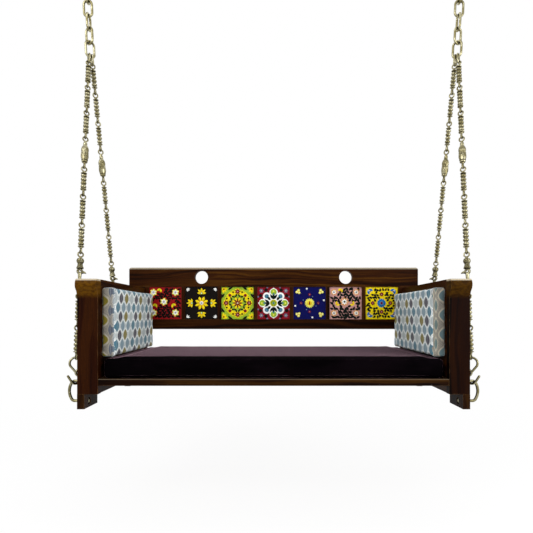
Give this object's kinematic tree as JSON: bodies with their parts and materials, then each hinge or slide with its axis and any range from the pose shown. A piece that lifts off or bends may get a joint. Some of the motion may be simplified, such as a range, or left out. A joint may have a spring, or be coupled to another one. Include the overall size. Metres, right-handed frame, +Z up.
{
  "type": "indoor swing",
  "caption": "Low wooden bench swing with a tiled backrest, padded arms and a seat cushion, hung from ceiling plates on brass chains that split into beaded legs",
  "frame": {"origin": "middle of the ceiling bolt pattern, in the plane where the ceiling plates meet the ceiling", "axes": "+X to the sitter's left as seen from the front, which is the viewer's right; +Y to the back; +Z up"},
  "size_m": [1.626, 0.593, 1.701],
  "materials": {
    "dark_wood": "satin",
    "plywood": "matte",
    "antique_brass": "satin",
    "plate_brass": "satin",
    "plated_steel": "satin",
    "cushion_fabric": "matte",
    "arm_pad_fabric": "matte",
    "tile_1": "gloss",
    "tile_2": "gloss",
    "tile_3": "gloss",
    "tile_4": "gloss",
    "tile_5": "gloss",
    "tile_6": "gloss",
    "tile_7": "gloss"
  },
  "bodies": {
    "ceiling": {"ceiling_plates": "plate_brass", "ceiling_eyes": "antique_brass"},
    "left_top_link": {"top_link_left": "antique_brass"},
    "left_chain": {"chain_links_left": "antique_brass"},
    "left_gather": {"gather_link_left": "antique_brass"},
    "right_top_link": {"top_link_right": "antique_brass"},
    "right_chain": {"chain_links_right": "antique_brass"},
    "right_gather": {"gather_link_right": "antique_brass"},
    "cushion": {"seat_cushion": "cushion_fabric"},
    "seat": {"arm_pad_left": "arm_pad_fabric", "arm_pad_right": "arm_pad_fabric", "arm_rail_left": "dark_wood", "arm_rail_right": "dark_wood", "backrest_backing_board": "plywood", "backrest_bottom_rail": "dark_wood", "backrest_end_stiles": "dark_wood", "backrest_muntins": "dark_wood", "backrest_screws": "plated_steel", "backrest_tile_1": "tile_1", "backrest_tile_2": "tile_2", "backrest_tile_3": "tile_3", "backrest_tile_4": "tile_4", "backrest_tile_5": "tile_5", "backrest_tile_6": "tile_6", "backrest_tile_7": "tile_7", "backrest_top_plank": "dark_wood", "bead_rods_front_left": "antique_brass", "bead_rods_front_right": "antique_brass", "bead_rods_rear_left": "antique_brass", "bead_rods_rear_right": "antique_brass", "bird_link_front_left": "antique_brass", "bird_link_front_right": "antique_brass", "bird_link_rear_left": "antique_brass", "bird_link_rear_right": "antique_brass", "bud_front_left": "antique_brass", "bud_front_right": "antique_brass", "bud_rear_left": "antique_brass", "bud_rear_right": "antique_brass", "foot_boards_front": "dark_wood", "foot_boards_rear": "dark_wood", "front_post_left": "dark_wood", "front_post_right": "dark_wood", "gather_rings_left": "antique_brass", "gather_rings_right": "antique_brass", "handle_nuts": "plated_steel", "handle_washers": "plated_steel", "handles_left": "antique_brass", "handles_right": "antique_brass", "hooks_left": "antique_brass", "hooks_right": "antique_brass", "rear_post_left": "dark_wood", "rear_post_right": "dark_wood", "seat_battens": "plywood", "seat_board": "plywood", "seat_front_rail": "dark_wood", "seat_rear_rail": "dark_wood", "side_panel_left": "dark_wood", "side_panel_right": "dark_wood", "side_rail_left": "dark_wood", "side_rail_right": "dark_wood"}
  },
  "joints": [
    {"name": "swing", "type": "hinge", "parent": "ceiling", "child": "left_top_link", "pos_m": [-0.763, 0, -0.05325], "axis": [1, 0, 0], "range_deg": [-30, 30]},
    {"name": "swing_right_chain", "type": "hinge", "parent": "ceiling", "child": "right_top_link", "pos_m": [0.763, 0, -0.05325], "axis": [1, 0, 0], "range_deg": [-30, 30]},
    {"name": "sway", "type": "hinge", "parent": "left_top_link", "child": "left_chain", "pos_m": [-0.7602, 0, -0.10898], "axis": [0, 1, 0], "range_deg": [-6, 6]},
    {"name": "sway_right_chain", "type": "hinge", "parent": "right_top_link", "child": "right_chain", "pos_m": [0.7602, 0, -0.10898], "axis": [0, 1, 0], "range_deg": [-6, 6]},
    {"name": "level_left", "type": "hinge", "parent": "left_chain", "child": "left_gather", "pos_m": [-0.7518, 0, -0.27617], "axis": [0, 1, 0], "range_deg": [-7, 7]},
    {"name": "level_right", "type": "hinge", "parent": "right_chain", "child": "right_gather", "pos_m": [0.7518, 0, -0.27617], "axis": [0, 1, 0], "range_deg": [-7, 7]},
    {"name": "rock", "type": "hinge", "parent": "left_gather", "child": "seat", "pos_m": [-0.749, 0, -0.3319], "axis": [1, 0, 0], "range_deg": [-5, 5]},
    {"name": "cushion_slide", "type": "slide", "parent": "seat", "child": "cushion", "axis": [0, -1, 0], "range_m": [0, 0.6]}
  ],
  "couplings": [
    {"joint": "swing_right_chain", "follows": "swing", "ratio": 1},
    {"joint": "sway_right_chain", "follows": "sway", "ratio": 1},
    {"joint": "level_left", "follows": "sway", "ratio": -1.0112},
    {"joint": "level_right", "follows": "sway", "ratio": -1.0112}
  ]
}
